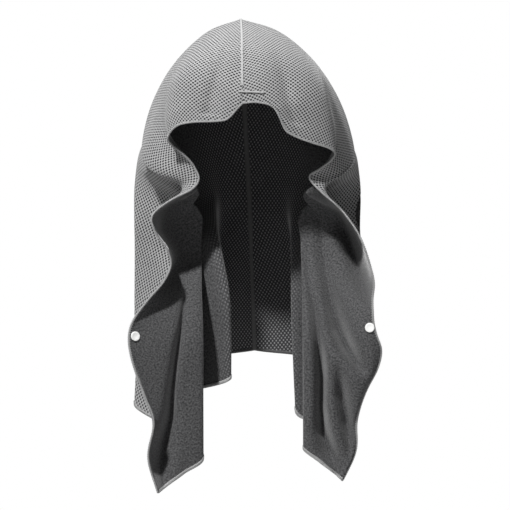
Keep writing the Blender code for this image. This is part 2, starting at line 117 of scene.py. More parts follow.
# Below the ears the two sides fold differently. Eleven points on each rib: seam, hidden
# pleat, rear crest, rear panel, side turn, middle layer, wing fold, valley, crest,
# outer turn, front edge.
LEFT_RIBS = [
    (0.45, [(0, 91, 571), (34, 88, 562), (66, 78, 545), (94, 62, 522), (116, 40, 492),
            (130, 14, 462), (134, -14, 437), (126, -36, 419), (108, -50, 407),
            (88, -57, 398), (74, -70, 391)]),
    (0.49, [(0, 105, 550), (36, 101, 540), (68, 89, 521), (98, 70, 496), (127, 42, 468),
            (137, 14, 440), (128, -18, 418), (98, -36, 404), (68, -38, 394),
            (86, -49, 385), (100, -80, 377)]),
    (0.54, [(0, 118, 518), (34, 113, 508), (64, 98, 492), (104, 76, 470), (137, 44, 444),
            (141, 14, 420), (116, -14, 403), (66, -22, 390), (84, -22, 378),
            (108, -40, 367), (124, -90, 356)]),
    (0.60, [(0, 123, 478), (34, 116, 465), (62, 94, 448), (104, 66, 427), (145, 32, 402),
            (134, 14, 382), (66, 0, 366), (82, -3, 356), (99, -11, 347),
            (113, -35, 337), (115, -84, 328)]),
    (0.66, [(0, 122, 440), (34, 112, 424), (58, 84, 406), (104, 56, 384), (147, 25, 354),
            (130, 12, 340), (64, 3, 329), (78, -1, 320), (91, -9, 311),
            (100, -34, 304), (101, -78, 298)]),
    (0.72, [(0, 117, 397), (36, 104, 385), (52, 68, 368), (98, 50, 350), (148, 26, 326),
            (122, 10, 312), (63, -4, 299), (82, -14, 291), (99, -32, 283),
            (110, -57, 275), (112, -85, 269)]),
    (0.77, [(0, 111, 360), (40, 94, 349), (44, 4, 332), (90, 26, 314), (149, 26, 292),
            (112, 2, 278), (62, -32, 264), (86, -46, 260), (108, -62, 253),
            (127, -80, 246), (134, -93, 240)]),
    (0.83, [(0, 106, 294), (48, 64, 284), (30, -26, 268), (86, 12, 250), (150, 26, 232),
            (108, -12, 222), (60, -58, 212), (86, -72, 209), (116, -84, 206),
            (141, -93, 203), (153, -98, 202)]),
    (0.92, [(0, 100, 234), (52, 60, 222), (27, -30, 202), (84, 10, 186), (149, 24, 166),
            (106, -16, 148), (60, -60, 132), (86, -73, 126), (110, -87, 122),
            (130, -98, 121), (131, -108, 120)]),
    (1.00, [(0, 98, 180), (55, 60, 170), (28, -32, 146), (86, 8, 128), (152, 22, 112),
            (102, -20, 80), (60, -60, 46), (84, -78, 26), (102, -93, 13),
            (114, -106, 4), (116, -113, 3)]),
]
RIGHT_RIBS = [
    (0.45, [(0, 91, 571), (34, 88, 562), (66, 78, 545), (94, 62, 522), (117, 40, 492),
            (132, 14, 462), (137, -14, 437), (132, -40, 419), (116, -57, 407),
            (100, -64, 397), (92, -70, 389)]),
    (0.49, [(0, 105, 550), (36, 101, 540), (68, 89, 521), (98, 70, 496), (127, 42, 468),
            (138, 14, 440), (131, -14, 418), (106, -30, 402), (76, -34, 390),
            (99, -46, 380), (114, -78, 369)]),
    (0.54, [(0, 118, 518), (34, 113, 508), (66, 98, 492), (104, 76, 470), (137, 46, 444),
            (142, 22, 420), (122, 8, 402), (72, 4, 386), (95, 0, 373),
            (119, -22, 361), (130, -84, 350)]),
    (0.60, [(0, 123, 478), (38, 115, 465), (72, 92, 447), (108, 66, 425), (145, 36, 400),
            (134, 30, 380), (70, 18, 364), (95, 14, 352), (118, 6, 342),
            (137, -22, 334), (143, -88, 328)]),
    (0.66, [(0, 122, 440), (40, 112, 422), (72, 84, 402), (110, 56, 380), (144, 26, 354),
            (132, 28, 338), (69, 14, 326), (97, 6, 316), (123, -6, 309),
            (147, -34, 303), (154, -88, 298)]),
    (0.71, [(0, 118, 404), (43, 107, 388), (66, 74, 368), (108, 54, 348), (145, 26, 326),
            (126, 24, 312), (69, 2, 300), (97, -8, 292), (125, -22, 284),
            (149, -50, 278), (159, -91, 272)]),
    (0.77, [(0, 111, 360), (50, 98, 343), (58, 56, 322), (104, 46, 303), (146, 24, 284),
            (118, 10, 272), (69, -26, 260), (98, -42, 256), (126, -60, 249),
            (148, -80, 243), (158, -93, 240)]),
    (0.83, [(0, 106, 294), (66, 92, 278), (54, 40, 260), (100, 40, 243), (146, 26, 226),
            (112, -10, 218), (69, -60, 208), (98, -74, 206), (128, -89, 204),
            (150, -94, 203), (163, -92, 203)]),
    (0.92, [(0, 100, 234), (76, 88, 210), (54, 36, 180), (94, 36, 162), (138, 24, 146),
            (106, -10, 136), (69, -58, 126), (98, -75, 124), (124, -87, 124),
            (142, -86, 125), (150, -80, 130)]),
    (1.00, [(0, 98, 180), (84, 86, 164), (56, 34, 102), (92, 34, 86), (128, 20, 74),
            (100, -6, 66), (69, -54, 58), (90, -66, 40), (108, -72, 27),
            (118, -70, 18), (120, -64, 16)]),
]
# Front edges: v, then (outwards, depth, height) in mm, from the brim's peak to the tip.
LEFT_EDGE = [
    (0.00, (8, -119, 501)), (0.03, (14, -119, 495)), (0.06, (27, -119, 481)),
    (0.09, (40, -117, 478)), (0.13, (70, -110, 477)), (0.17, (91, -102, 473)),
    (0.21, (103, -92, 461)), (0.26, (100, -80, 449)), (0.31, (84, -72, 436)),
    (0.37, (70, -66, 418)), (0.41, (65, -66, 404)), (0.45, (74, -70, 391)),
    (0.49, (100, -80, 377)), (0.54, (124, -90, 356)), (0.58, (120, -88, 336)),
    (0.63, (104, -80, 312)), (0.67, (100, -78, 294)), (0.71, (109, -84, 273)),
    (0.76, (130, -92, 248)), (0.80, (148, -97, 222)), (0.83, (153, -99, 203)),
    (0.88, (146, -104, 162)), (0.92, (131, -108, 122)), (0.95, (121, -110, 90)),
    (0.975, (129, -112, 48)), (1.00, (116, -114, 3)),
]
RIGHT_EDGE = [
    (0.00, (-8, -119, 501)), (0.03, (10, -119, 502)), (0.06, (30, -119, 497)),
    (0.08, (37, -119, 488)), (0.10, (42, -117, 477)), (0.12, (48, -115, 465)),
    (0.14, (61, -112, 458)), (0.17, (80, -107, 451)),
    (0.21, (103, -96, 444)), (0.24, (110, -88, 438)), (0.28, (106, -80, 429)),
    (0.34, (91, -72, 417)), (0.41, (79, -66, 404)), (0.45, (92, -70, 389)),
    (0.49, (114, -78, 369)), (0.54, (130, -84, 350)), (0.60, (143, -88, 328)),
    (0.67, (155, -90, 294)), (0.71, (160, -91, 272)), (0.76, (158, -93, 246)),
    (0.80, (159, -93, 220)), (0.83, (163, -92, 203)), (0.86, (169, -89, 184)),
    (0.89, (164, -85, 160)), (0.92, (149, -80, 130)), (0.95, (138, -74, 94)),
    (0.98, (136, -68, 50)), (1.00, (120, -64, 16)),
]
# How far the centre seam stands to the viewer's right of the centre plane: v, mm.
SEAM_DRIFT = [(0.0, -8), (0.15, -9), (0.35, -11), (0.6, -5), (0.8, 2), (1.0, 7)]
SIDES = {
    "left": (-1, LEFT_BRIM + CROWN_RIBS + LEFT_RIBS, LEFT_EDGE),
    "right": (1, RIGHT_BRIM + CROWN_RIBS + RIGHT_RIBS, RIGHT_EDGE),
}
EDGE_SHARE = 0.3           # the last share of each rib that follows the front edge
STUDS = {"left": (0.93, 0.832), "right": (0.95, 0.8135)}


def through(stations, points, at):
    """A smooth curve through the points, read at the given stations."""
    s = np.asarray(stations, float)
    p = np.asarray(points, float)
    step = np.diff(s)
    shape = (-1,) + (1,) * (p.ndim - 1)
    slope = np.diff(p, axis=0) / step.reshape(shape)
    before, after = step[:-1].reshape(shape), step[1:].reshape(shape)
    inner = (slope[:-1] * after + slope[1:] * before) / (before + after)
    tangent = np.concatenate([slope[:1], inner, slope[-1:]])
    at = np.asarray(at, float)
    i = np.clip(np.searchsorted(s, at, side="right") - 1, 0, len(s) - 2)
    h = step[i].reshape((-1,) + (1,) * (p.ndim - 1))
    t = ((at - s[i]) / step[i]).reshape(h.shape)
    return (
        (1 + 2 * t) * (1 - t) ** 2 * p[i]
        + t * (1 - t) ** 2 * h * tangent[i]
        + t * t * (3 - 2 * t) * p[i + 1]
        + t * t * (t - 1) * h * tangent[i + 1]
    )


def cloth(side, us, vs):
    """Points of a panel's middle surface in mm, as an array of ribs by columns by 3."""
    sign, ribs, edge = SIDES[side]
    us, vs = np.asarray(us, float), np.asarray(vs, float)
    rows = np.array([through(np.linspace(0, 1, len(p)), p, us) for _, p in ribs])
    grid = through([v for v, _ in ribs], rows, vs)
    ends = np.array([through(np.linspace(0, 1, len(p)), p, [1.0])[0] for _, p in ribs])
    off = through([v for v, _ in edge], [p for _, p in edge], vs)
    off -= through([v for v, _ in ribs], ends, vs)
    near = np.clip((us - 1 + EDGE_SHARE) / EDGE_SHARE, 0, 1)
    grid += (near * near * (3 - 2 * near))[None, :, None] * off[:, None, :]
    drift = through([v for v, _ in SEAM_DRIFT], [d for _, d in SEAM_DRIFT], vs)
    grid[..., 0] = sign * (grid[..., 0] + SEAM_HALF_GAP)
    grid[..., 0] += drift[:, None] * (1 - us[None, :]) ** 2
    grid[..., 2] -= TOP_OF_HEAD
    return grid


# Fold lines pressed backwards into the cloth: side, the first and last share of each rib that
# a line may touch, then its points from top to bottom: (outwards, height, half width, depth)
# in mm.
FOLDS_REACH = 30           # mm behind the middle plane, where the folds end
FOLDS = [
    ("left", (0.61, 1.0), [(83, 262, 3, 0), (83, 250, 3, 14), (87, 215, 3, 18), (92, 185, 4, 22),
                           (96, 155, 4, 24), (99, 132, 5, 26), (101, 98, 8, 30),
                           (110, 66, 12, 32), (114, 33, 12, 26), (110, 10, 9, 12)]),
    ("left", (0.0, 0.9), [(26, 575, 8, 0), (40, 540, 9, 3), (48, 510, 9, 6), (52, 480, 8, 6)]),
    ("right", (0.61, 1.0), [(74, 320, 4, 0), (76, 290, 4, 5), (80, 262, 4, 9), (85, 235, 5, 18),
                            (90, 190, 5, 30), (94, 150, 6, 36), (93, 110, 6, 36), (96, 80, 9, 36),
                            (106, 50, 12, 32), (114, 30, 9, 16)]),
    ("right", (0.61, 1.0), [(93, 350, 6, 4), (97, 310, 8, 9), (101, 280, 9, 14), (108, 240, 11, 30),
                            (117, 209, 13, 42), (127, 186, 12, 42), (139, 165, 8, 26),
                            (150, 152, 6, 0)]),
    ("right", (0.61, 1.0), [(118, 362, 8, 12), (130, 330, 11, 28), (141, 290, 11, 34),
                            (149, 262, 9, 24), (156, 235, 6, 0)]),
    ("right", (0.61, 1.0), [(114, 170, 8, 2), (120, 125, 10, 30), (126, 90, 10, 34), (129, 55, 7, 10),
                            (129, 35, 6, 0)]),
    ("right", (0.0, 0.9), [(30, 580, 8, 0), (42, 545, 9, 3), (48, 515, 9, 5), (58, 470, 8, 4)]),
]


def fold_in(grid, side, us, share, line):
    """Presses one fold line backwards into the cloth."""
    outwards, height = grid[..., 0] * SIDES[side][0], grid[..., 2] + TOP_OF_HEAD
    line = np.array(line[::-1], float)
    at, width, depth = [np.interp(height, line[:, 1], line[:, k]) for k in (0, 2, 3)]
    past = np.maximum(height - line[-1, 1], line[0, 1] - height)
    fade = np.clip(1 - past / 20, 0, 1)
    inside = np.clip((us - share[0]) / 0.03, 0, 1) * np.clip((share[1] - us) / 0.03 + 1, 0, 1)
    front = grid[..., 1] < FOLDS_REACH
    press = depth * fade * inside[None, :] * front * np.exp(-np.abs((outwards - at) / width) ** 1.6)
    grid[..., 1] += press


def unit(vectors):
    """The same vectors, each 1 long."""
    return vectors / np.maximum(np.linalg.norm(vectors, axis=-1, keepdims=True), 1e-12)


def normals(grid, sign):
    """Unit normals that point out of the hood."""
    return unit(np.cross(np.gradient(grid, axis=1), np.gradient(grid, axis=0)) * sign)


def rounded(grid, passes):
    """The same grid with each inner point drawn towards its neighbours."""
    for _ in range(passes):
        for axis in (0, 1):
            g = np.moveaxis(grid, axis, 0)
            g[1:-1] = g[1:-1] / 2 + (g[:-2] + g[2:]) / 4
    return grid


# ---- materials -------------------------------------------------------------------------

def linear(hex_colour):
    """An sRGB hex colour as linear RGBA."""
    parts = [int(hex_colour[i:i + 2], 16) / 255 for i in (1, 3, 5)]
    return [c / 12.92 if c <= 0.04045 else ((c + 0.055) / 1.055) ** 2.4 for c in parts] + [1.0]


def node(tree, kind, links=None, **settings):
    """Adds a node: settings name a property or an input, links an input and its source."""
    made = tree.nodes.new(kind)
    for name, value in settings.items():
        if hasattr(made, name):
            setattr(made, name, value)
        else:
            made.inputs[name.replace("_", " ")].default_value = value
    for key, source in (links or {}).items():
        tree.links.new(source, made.inputs[key])
    return made


def blank(name):
    """A new material, its nodes and its shader."""
    material = bpy.data.materials.new(name)
    material.use_nodes = True
    tree = material.node_tree
    return material, tree, tree.nodes["Principled BSDF"]


def wells(tree, flat):
    """The knit's staggered wells on the flat cut: 1 at the middle of each, -1 between them."""
    split = node(tree, "ShaderNodeSeparateXYZ", {0: flat})
    found = []
    for along, pitch in ((0, WELL_ACROSS), (1, WELL_DOWN)):
        turned = node(tree, "ShaderNodeMath", {0: split.outputs[along]}, operation="MULTIPLY")
        turned.inputs[1].default_value = math.tau / (pitch * MM)
        found.append(node(tree, "ShaderNodeMath", {0: turned.outputs[0]}, operation="COSINE"))
    return node(tree, "ShaderNodeMath", {0: found[0].outputs[0], 1: found[1].outputs[0]},
                operation="MULTIPLY").outputs[0]


def waffle_knit():
    """Polyester waffle knit, outer face: pale yarn in a net of small dark wells that show
    the charcoal face behind. Matte, with a faint sheen from the fuzz."""
    material, tree, shader = blank("waffle_knit_polyester")
    flat = node(tree, "ShaderNodeUVMap", uv_map="flat_cut").outputs[0]
    mask = node(tree, "ShaderNodeMapRange", {0: wells(tree, flat)},
                interpolation_type="SMOOTHSTEP")
    mask.inputs[1].default_value = -0.1
    mask.inputs[2].default_value = 0.42
    patches = node(tree, "ShaderNodeTexNoise", {0: flat}, Scale=22.0, Detail=3.0)
    yarn = node(tree, "ShaderNodeMix", {0: patches.outputs[0]}, data_type="RGBA")
    yarn.inputs[6].default_value = linear("#919192")
    yarn.inputs[7].default_value = linear("#acacac")
    colour = node(tree, "ShaderNodeMix", {0: mask.outputs[0], 6: yarn.outputs[2]}, data_type="RGBA")
    colour.inputs[7].default_value = linear("#1f1f20")
    tree.links.new(colour.outputs[2], shader.inputs["Base Color"])
    depth = node(tree, "ShaderNodeBump", {"Height": mask.outputs[0]}, invert=True)
    depth.inputs["Distance"].default_value = 0.0008
    depth.inputs["Strength"].default_value = 0.7
    tree.links.new(depth.outputs[0], shader.inputs["Normal"])
    shader.inputs["Roughness"].default_value = 0.88
    shader.inputs["Sheen Weight"].default_value = 0.25
    shader.inputs["Sheen Roughness"].default_value = 0.5
    return material


def brushed_knit():
    """Polyester jersey, inner face: charcoal, brushed, with fine wales. Over the back, paler dots at
    the wells of the outer face are painted light shining through them, on a plain ground without the
    fuzz."""
    material, tree, shader = blank("brushed_knit_polyester")
    flat = node(tree, "ShaderNodeUVMap", uv_map="flat_cut").outputs[0]
    mask = node(tree, "ShaderNodeMapRange", {0: wells(tree, flat)},
                interpolation_type="SMOOTHSTEP")
    mask.inputs[1].default_value = 0.1
    mask.inputs[2].default_value = 0.7
    # Painted light: this share marks the back, where light shining through the wells is painted as
    # paler dots.
    share = node(tree, "ShaderNodeAttribute", attribute_name="painted_backlight_share").outputs["Fac"]
    seen = node(tree, "ShaderNodeMath", {0: mask.outputs[0], 1: share}, operation="MULTIPLY")
    grain = node(tree, "ShaderNodeTexNoise", {0: flat}, Scale=420.0, Detail=3.0)
    fuzz = node(tree, "ShaderNodeMapRange", {0: grain.outputs[0]})
    fuzz.inputs[1].default_value = 0.36
    fuzz.inputs[2].default_value = 0.64
    plain = node(tree, "ShaderNodeMix", {0: fuzz.outputs[0]}, data_type="RGBA")
    plain.inputs[6].default_value = linear("#2b2b2c")
    plain.inputs[7].default_value = linear("#5a5a5b")
    ground = node(tree, "ShaderNodeMix", {0: share, 6: plain.outputs[2]}, data_type="RGBA")
    ground.inputs[7].default_value = linear("#2e2e30")
    colour = node(tree, "ShaderNodeMix", {0: seen.outputs[0], 6: ground.outputs[2]},
                  data_type="RGBA")
    # The paler dots: painted light through the wells.
    colour.inputs[7].default_value = linear("#8a8a8b")
    tree.links.new(colour.outputs[2], shader.inputs["Base Color"])
    wales = node(tree, "ShaderNodeTexWave", {0: flat}, Scale=190.0)   # coarser than the real 0.8 mm
    height = node(tree, "ShaderNodeMath", {0: wales.outputs["Fac"], 1: fuzz.outputs[0]},
                  operation="ADD")
    relief = node(tree, "ShaderNodeBump", {"Height": height.outputs[0]})
    relief.inputs["Distance"].default_value = 0.0003
    relief.inputs["Strength"].default_value = 0.4
    tree.links.new(relief.outputs[0], shader.inputs["Normal"])
    shader.inputs["Roughness"].default_value = 0.92
    shader.inputs["Sheen Weight"].default_value = 0.35
    shader.inputs["Sheen Roughness"].default_value = 0.4
    return material


def thread(name, pale, dark):
    """Spun polyester thread: twisted and matte, mottled with fine noise; the darker parts lie where its
    relief is low, painted shade between its plies.
    """
    material, tree, shader = blank(name)
    place = node(tree, "ShaderNodeTexCoord").outputs["Object"]
    grain = node(tree, "ShaderNodeTexNoise", {0: place}, Scale=1400.0, Detail=2.0)
    # Painted shade: the same noise darkens the colour and lowers the relief, so the low places are
    # darker.
    colour = node(tree, "ShaderNodeMix", {0: grain.outputs[0]}, data_type="RGBA")
    colour.inputs[6].default_value = linear(dark)
    colour.inputs[7].default_value = linear(pale)
    tree.links.new(colour.outputs[2], shader.inputs["Base Color"])
    relief = node(tree, "ShaderNodeBump", {"Height": grain.outputs[0]}, Distance=0.0002)
    tree.links.new(relief.outputs[0], shader.inputs["Normal"])
    shader.inputs["Roughness"].default_value = 0.75
    return material


def moulded_acetal():
    """Acetal, injection moulded: opaque white, smooth, a soft gloss."""
    material, tree, shader = blank("moulded_acetal_white")
    place = node(tree, "ShaderNodeTexCoord").outputs["Object"]
    grain = node(tree, "ShaderNodeTexNoise", {0: place}, Scale=900.0, Detail=1.0)
    colour = node(tree, "ShaderNodeMix", {0: grain.outputs[0]}, data_type="RGBA")
    colour.inputs[6].default_value = linear("#eeeeec")
    colour.inputs[7].default_value = linear("#f7f7f6")
    tree.links.new(colour.outputs[2], shader.inputs["Base Color"])
    shader.inputs["Roughness"].default_value = 0.28
    shader.inputs["IOR"].default_value = 1.48
    return material


# ---- mesh helpers ----------------------------------------------------------------------

def add(name, points, faces, materials, kinds=None):
    """A smooth mesh from points in mm; kinds gives each face's material."""
    mesh = bpy.data.meshes.new(name)
    mesh.from_pydata((np.asarray(points) * MM).tolist(), [], faces)
    for material in materials:
        mesh.materials.append(material)
    if kinds is not None:
        mesh.polygons.foreach_set("material_index", kinds)
    mesh.polygons.foreach_set("use_smooth", [True] * len(faces))
    obj = bpy.data.objects.new(name, mesh)
    bpy.context.scene.collection.objects.link(obj)
    return obj


def tube(name, rings, materials, closed=False):
    """A closed tube through rings of points in mm."""
    n, count = len(rings[0]), len(rings)
    points = np.concatenate([np.asarray(r) for r in rings])
    faces = [[i * n + k, i * n + (k + 1) % n, (i + 1) * n + (k + 1) % n, (i + 1) * n + k]
             for i in range(count - 1) for k in range(n)]
    faces += [list(range(n))[::-1], [(count - 1) * n + k for k in range(n)]]
    obj = add(name, points, faces, materials)
    outward(obj)
    return obj


def outward(obj):
    """Turns every face of a closed mesh outwards."""
    bm = bmesh.new()
    bm.from_mesh(obj.data)
    bmesh.ops.recalc_face_normals(bm, faces=bm.faces)
    bm.to_mesh(obj.data)
    bm.free()


def lengths(points):
    """How far along the line each of its points lies, in mm."""
    return np.concatenate([[0], np.cumsum(np.linalg.norm(np.diff(points, axis=0), axis=1))])


def at_length(values, far, s):
    """The line's values, read at length s."""
    return np.array([np.interp(s, far, values[:, c]) for c in range(3)])


# ---- cloth -----------------------------------------------------------------------------

def flat_cut(grid, name):
    """Each point's place on the flat cut in metres: the panel unrolled with least stretch,
    its back seam upright."""
    rows, columns = grid.shape[:2]
    coarse = grid[::FLAT_STEP, ::FLAT_STEP]
    r, c = coarse.shape[:2]
    faces = [[i * c + j, i * c + j + 1, (i + 1) * c + j + 1, (i + 1) * c + j]
             for i in range(r - 1) for j in range(c - 1)]
    obj = add(name, coarse.reshape(-1, 3), faces, [])
    obj.data.uv_layers.new(name="cut")
    bpy.context.view_layer.objects.active = obj
    for other in bpy.context.selected_objects:
        other.select_set(False)
    obj.select_set(True)
    bpy.ops.object.mode_set(mode="EDIT")
    bpy.ops.mesh.select_all(action="SELECT")
    bpy.ops.uv.unwrap(method="MINIMUM_STRETCH", margin=0.0)
    bpy.ops.object.mode_set(mode="OBJECT")
    corner = np.zeros(len(obj.data.loops) * 2)
    obj.data.uv_layers[0].data.foreach_get("uv", corner)
    index = np.zeros(len(obj.data.loops), int)
    obj.data.loops.foreach_get("vertex_index", index)
    cut = np.zeros((r * c, 2))
    cut[index] = corner.reshape(-1, 2)
    cut = cut.reshape(r, c, 2)
    bpy.data.objects.remove(obj)
    solid = cell_areas(coarse).sum() * MM * MM
    a, b = cut[1:, :-1] - cut[:-1, :-1], cut[:-1, 1:] - cut[:-1, :-1]
    drawn = np.abs(a[..., 0] * b[..., 1] - a[..., 1] * b[..., 0]).sum()
    cut *= math.sqrt(solid / drawn)
    upright = cut[r // 2, 0] - cut[-1, 0]
    turn = math.pi / 2 - math.atan2(upright[1], upright[0])
    spin = np.array([[math.cos(turn), -math.sin(turn)], [math.sin(turn), math.cos(turn)]])
    cut = (cut - cut[-1, 0]) @ spin.T
    fine = through(np.arange(r) * FLAT_STEP, cut, np.arange(rows))
    fine = through(np.arange(c) * FLAT_STEP, fine.transpose(1, 0, 2), np.arange(columns))
    return fine.transpose(1, 0, 2)


def cell_areas(grid):
    """The area of each cell of the grid, in mm2."""
    a, b = grid[1:, :-1] - grid[:-1, :-1], grid[:-1, 1:] - grid[:-1, :-1]
    return np.linalg.norm(np.cross(a, b), axis=-1)


def panel(side, outer, inner):
    """One knit panel, a closed sheet with its outer face, inner face and cut edge."""
    us, vs = np.linspace(0, 1, COLUMNS), np.linspace(0, 1, RIBS)
    grid = cloth(side, us, vs)
    for where, share, line in FOLDS:
        if where == side:
            fold_in(grid, side, us, share, line)
    grid = rounded(grid, SOFTENING)
    out = normals(grid, SIDES[side][0]) * CLOTH / 2
    cut = flat_cut(grid, f"flat_{side}")
    points = np.concatenate([(grid + out).reshape(-1, 3), (grid - out).reshape(-1, 3)])
    under = RIBS * COLUMNS
    i, j = np.meshgrid(np.arange(RIBS - 1), np.arange(COLUMNS - 1), indexing="ij")
    a = (i * COLUMNS + j).ravel()
    top = np.stack([a, a + 1, a + 1 + COLUMNS, a + COLUMNS], axis=1)
    if SIDES[side][0] < 0:
        top = top[:, ::-1]
    first, last = np.arange(COLUMNS), (RIBS - 1) * COLUMNS + np.arange(COLUMNS)
    start, end = np.arange(RIBS) * COLUMNS, np.arange(RIBS) * COLUMNS + COLUMNS - 1
    loop = np.concatenate([first[:-1], end[:-1], last[:0:-1], start[:0:-1]])
    after = np.roll(loop, -1)
    rim = np.stack([loop, after, after + under, loop + under], axis=1)
    faces = np.concatenate([top, top[:, ::-1] + under, rim])
    kinds = np.concatenate([np.zeros(len(top)), np.ones(len(top)), np.zeros(len(rim))])
    obj = add(f"knit_panel_{side}", points, faces.tolist(), [outer, inner], kinds.astype(int))
    outward(obj)
    places = np.concatenate([cut.reshape(-1, 2)] * 2)
    layer = obj.data.uv_layers.new(name="flat_cut")
    index = np.zeros(len(obj.data.loops), int)
    obj.data.loops.foreach_get("vertex_index", index)
    layer.data.foreach_set("uv", places[index].ravel())
    # Where light through the wells is painted on the inner face as paler dots: full over the back, a
    # trace elsewhere.
    share = obj.data.attributes.new("painted_backlight_share", "FLOAT", "POINT")
    back = np.clip((0.24 - us) / 0.06, 0, 1)[None, :] * np.ones((RIBS, 1))
    share.data.foreach_set("value", np.tile((0.03 + 0.97 * back).ravel(), 2))
    size = np.ptp(cut.reshape(-1, 2), axis=0)
    area = cell_areas(grid).sum() * MM * MM
    return obj, grid, size, area


def border(grid, side, which):
    """Points, outward directions, normals and lengths along the front or bottom border."""
    n = normals(grid, SIDES[side][0])
    if which == "bottom":
        grid, n = grid.transpose(1, 0, 2), n.transpose(1, 0, 2)
    point, n = grid[:, -1], n[:, -1]
    away = unit(np.cross(np.gradient(point, axis=0), n))
    away *= np.sign(np.sum(away * (point - grid[:, -3]), axis=1, keepdims=True))
    return point, away, n, lengths(point)


def spaced(frame_of, step):
    """The border's points, directions, normals and lengths at even steps of about step mm."""
    point, away, n, far = frame_of
    at = np.linspace(0, far[-1], int(far[-1] / step) + 1)
    read = [np.stack([np.interp(at, far, a[:, k]) for k in range(3)], axis=1)
            for a in (point, away, n)]
    return read[0], unit(read[1]), unit(read[2]), at


def rolled_edge(side, grid, material):
    """The narrow hem rolled along the front edge, pinched a little at each stitch."""
    point, away, n, at = spaced(border(grid, side, "front"), 1.0)
    pinch = 1 - 0.1 * np.cos(at * math.tau / STITCH) ** 8
    rings = []
    for p, a, b, k in zip(point, away, n, pinch):
        turns = [t * math.tau / 10 for t in range(10)]
        rings.append([p + a * (0.5 + ROLL_WIDE * k * math.cos(t)) + b * ROLL_HIGH * k * math.sin(t)
                      for t in turns])
    return tube(f"rolled_edge_{side}", rings, [material])


def thread_run(name, points, radius, material, sides=5):
    """Sewing thread along a line of points in mm."""
    points = np.asarray(points)
    along = unit(np.gradient(points, axis=0))
    guide = unit(np.cross(along, np.array([0.31, 0.92, 0.24])))
    other = np.cross(along, guide)
    turns = [t * math.tau / sides for t in range(sides)]
    rings = [[p + radius * (a * math.cos(t) + b * math.sin(t)) for t in turns]
             for p, a, b in zip(points, guide, other)]
    return tube(name, rings, [material])


def overlock(name, frame_of, pitch, width, lift, radius, material, reach=0.7, begin=0.0):
    """Overlock thread: it runs down one face, round the cut edge and up the other."""
    point, away, n, far = frame_of
    turns = int(far[-1] / pitch)
    path = [(-width, lift, 0.0), (-width * 0.35, lift * 1.15, 0.12), (reach, lift * 0.8, 0.25),
            (reach, -lift * 0.8, 0.35), (-width * 0.35, -lift * 1.15, 0.48), (-width, -lift, 0.6),
            (-width * 0.35, -lift * 1.15, 0.7), (reach, -lift * 0.8, 0.8),
            (reach, lift * 0.8, 0.88), (-width * 0.4, lift * 1.15, 0.94)]
    line = []
    for k in range(int(turns * begin), turns):
        for back, up, share in path:
            s = (k + share) * pitch
            p, a, b = [at_length(v, far, s) for v in (point, away, n)]
            line.append(p + a * back + b * up)
    return thread_run(name, line, radius, material)


def hem_band(side, grid, material, dark):
    """The tight band of looper threads along the bottom hem, ribbed across."""
    point, away, n, at = spaced(border(grid, side, "bottom"), 0.7)
    lift = CLOTH / 2 + 0.15 + 0.12 * np.cos(at * math.tau / HEM_PITCH)
    rings = []
    for p, a, b, h in zip(point, away, n, lift):
        rings.append([p - a * HEM_WIDTH + b * h * 0.8, p - a * HEM_WIDTH / 2 + b * h * 1.1,
                      p + b * h, p + a * 0.7, p - b * h, p - a * HEM_WIDTH / 2 - b * h * 1.1,
                      p - a * HEM_WIDTH - b * h * 0.8])
    band = tube(f"overlocked_hem_{side}", rings, [material, dark])
    share = np.arange(len(band.data.polygons)) // len(rings[0]) / len(rings)
    band.data.polygons.foreach_set("material_index", (share < DARK_HEM).astype(int))
    return band


def seam_frame(grids):
    """The centre seam's points, normals out of the hood and directions to each side."""
    left, right = grids["left"], grids["right"]
    middle = (left[:, 0] + right[:, 0]) / 2
    n = unit(normals(left, SIDES["left"][0])[:, 1] + normals(right, SIDES["right"][0])[:, 1])
    along = unit(np.gradient(middle, axis=0))
    return middle, n, unit(np.cross(along, n))


def seam_ridge(grids, material):
    """The raised seam over the crown and down the back: two turned edges, side by side."""
    middle, n, across = seam_frame(grids)
    first = int(RIBS * SEAM_START)
    middle, n, across = middle[first:], n[first:], across[first:]
    half = RIDGE_WIDTH / 2
    rings = []
    for p, u, a, s in zip(middle, n, across, lengths(middle)):
        high = RIDGE_HEIGHT * (0.9 + 0.1 * math.cos(s * math.tau / STITCH))
        rings.append([p + a * half * share + u * (lift + high * part)
                      for share, lift, part in RIDGE_SECTION])
    return tube("crown_seam_ridge_sewn", rings, [material])


def seam_tape(grids, material):
    """The tape over the seam inside, slightly domed."""
    middle, n, across = seam_frame(grids)
    first = int(RIBS * SEAM_START)
    half = TAPE_WIDTH / 2
    rings = []
    for p, u, a in zip(middle[first:], n[first:], across[first:]):
        rings.append([p + a * half * share - u * (lift + abs(share) * 0.1)
                      for share, lift in TAPE_SECTION])
    return tube("back_seam_tape_sewn", rings, [material])


def stitches(name, middle, n, across, offset, lift, material):
    """A row of lockstitches beside the seam: short threads with a gap between them."""
    far = lengths(middle)
    bm = bmesh.new()
    count = int(far[-1] / STITCH)
    for k in range(count):
        ring_before = None
        for share, swell in ((0.1, 0.35), (0.25, 1.0), (0.65, 1.0), (0.8, 0.35)):
            s = (k + share) * STITCH
            p = at_length(middle, far, s)
            u = unit(at_length(n, far, s))
            a = unit(at_length(across, far, s))
            centre = p + a * offset + u * lift
            ring = [bm.verts.new(Vector(centre + THREAD * swell * (a * math.cos(t) + u * math.sin(t)))
                                 * MM) for t in (x * math.tau / 6 for x in range(6))]
            if ring_before:
                for i in range(6):
                    bm.faces.new([ring_before[i], ring_before[(i + 1) % 6], ring[(i + 1) % 6], ring[i]])
            else:
                bm.faces.new(ring[::-1])
            ring_before = ring
        bm.faces.new(ring_before)
    bmesh.ops.recalc_face_normals(bm, faces=bm.faces)
    mesh = bpy.data.meshes.new(name)
    bm.to_mesh(mesh)
    bm.free()
    mesh.materials.append(material)
    mesh.polygons.foreach_set("use_smooth", [True] * len(mesh.polygons))
    obj = bpy.data.objects.new(name, mesh)
    bpy.context.scene.collection.objects.link(obj)
    return obj


# ---- press studs -----------------------------------------------------------------------

